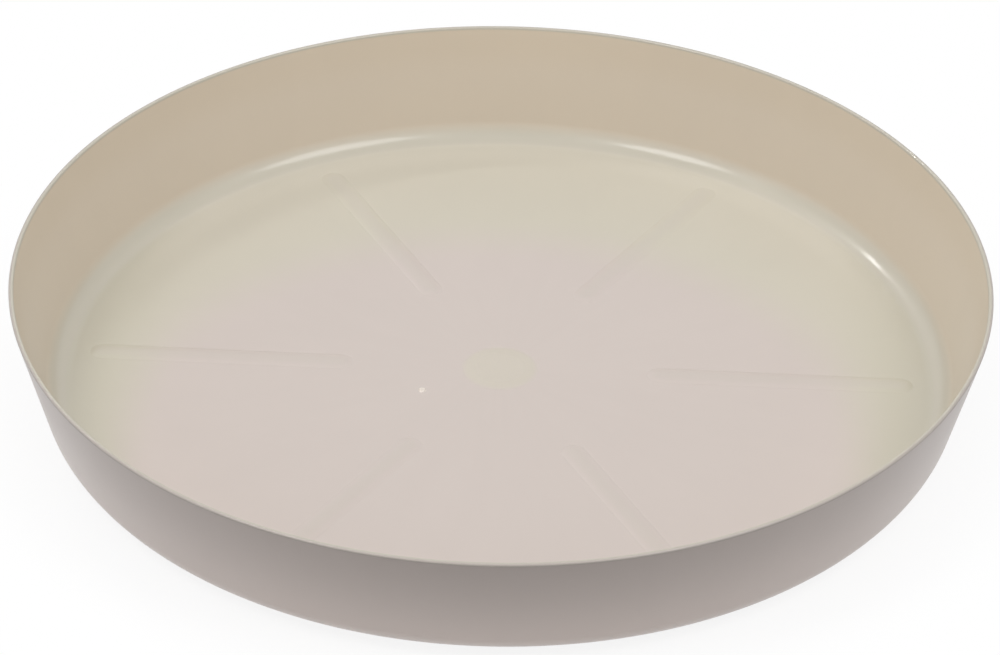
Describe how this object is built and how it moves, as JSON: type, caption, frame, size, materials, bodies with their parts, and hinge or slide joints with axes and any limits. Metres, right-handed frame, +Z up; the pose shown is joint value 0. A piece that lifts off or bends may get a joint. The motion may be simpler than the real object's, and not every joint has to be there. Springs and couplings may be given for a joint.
{
  "type": "plant saucer",
  "caption": "Round shallow plant pot saucer, one moulded piece: thin flared wall, rounded foot, flat floor with low radial ribs and a small centre disc, standing on a foot ring.",
  "frame": {"origin": "centre of the foot ring, on the plane that the saucer stands on", "axes": "+Z up along the saucer's axis, +X along the middle of one of the floor's ribs"},
  "size_m": [0.3, 0.3, 0.0408],
  "materials": {
    "saucer": "pale warm beige polypropylene, smooth and slightly glossy"
  },
  "bodies": {
    "root": {"saucer": "saucer"}
  },
  "joints": []
}
